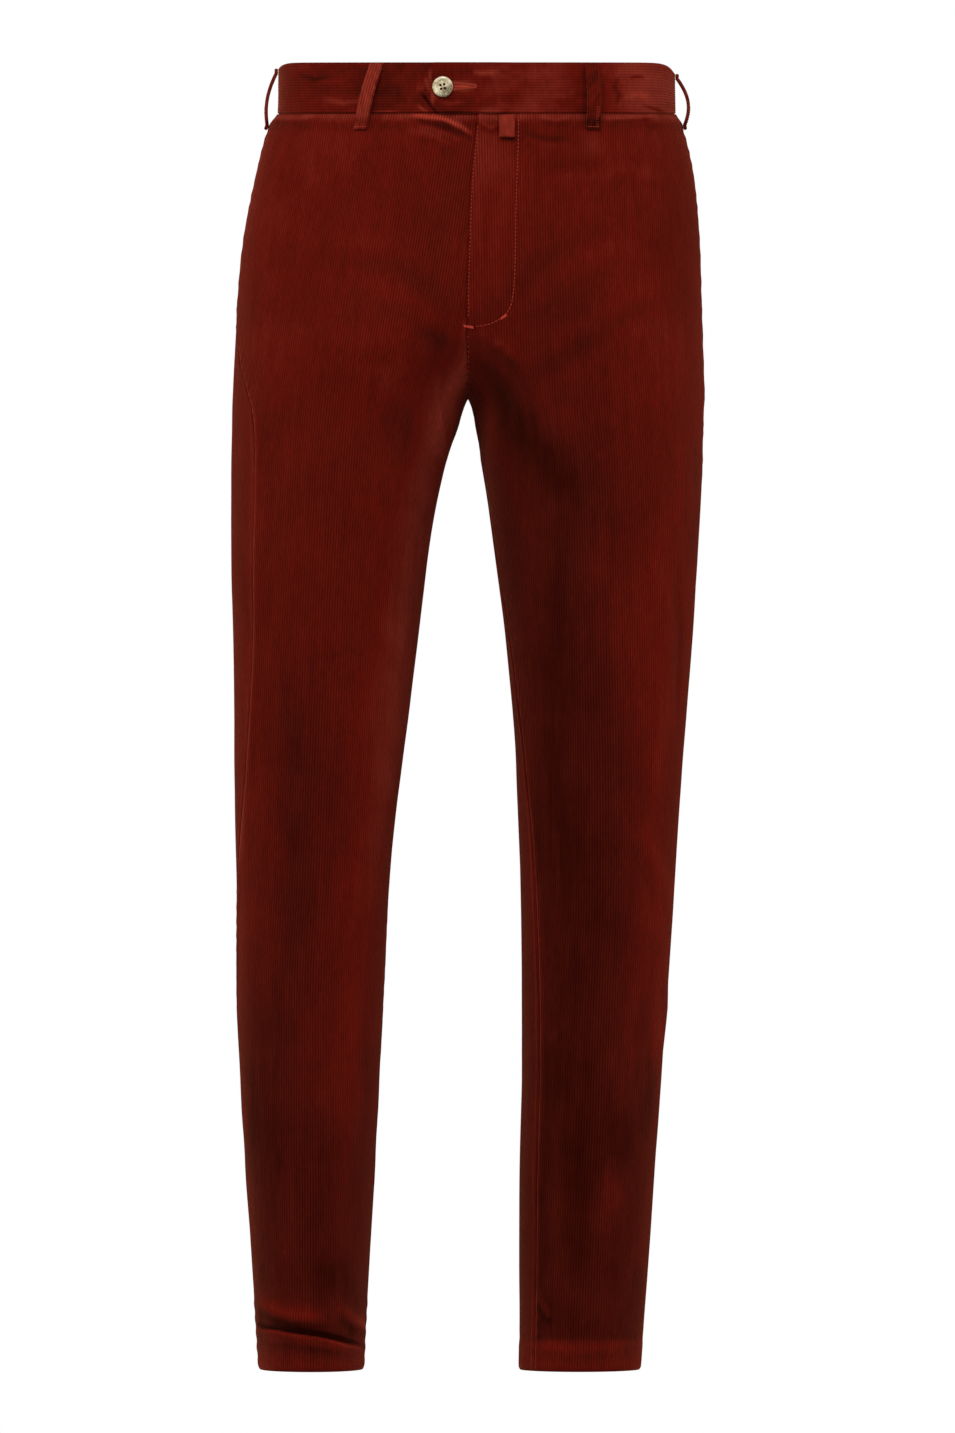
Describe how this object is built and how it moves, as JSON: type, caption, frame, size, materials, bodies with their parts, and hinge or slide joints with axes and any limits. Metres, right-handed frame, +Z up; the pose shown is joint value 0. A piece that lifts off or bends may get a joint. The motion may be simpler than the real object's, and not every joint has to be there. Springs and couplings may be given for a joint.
{
  "type": "worn corduroy trousers",
  "caption": "Straight, slightly tapered corduroy trousers in their worn shape, open at the waist and hems, with a lapped waistband, belt loops and one button.",
  "frame": {"origin": "on the body's axis at the waistband's mid-height, where the wearer's waist holds the trousers", "axes": "+Z up, -Y out of the garment's front, +X towards its left side"},
  "size_m": [0.3957, 0.2476, 1.0982],
  "materials": {
    "corduroy": "cotton corduroy, 11 wales to the inch, matt with a velvet sheen at grazing angles, dark red-brown",
    "button": "imitation horn, cream mottled with green-brown, satin"
  },
  "bodies": {
    "root": {"front_right": "corduroy", "front_left": "corduroy", "back_right": "corduroy", "back_left": "corduroy", "waistband_right": "corduroy", "waistband_left": "corduroy", "belt_loop_front_right": "corduroy", "belt_loop_front_left": "corduroy", "belt_loop_side_right": "corduroy", "belt_loop_side_left": "corduroy", "belt_loop_back_right": "corduroy", "belt_loop_back_left": "corduroy", "belt_loop_back_centre": "corduroy", "prong_keeper": "corduroy", "button": "button"}
  },
  "joints": []
}
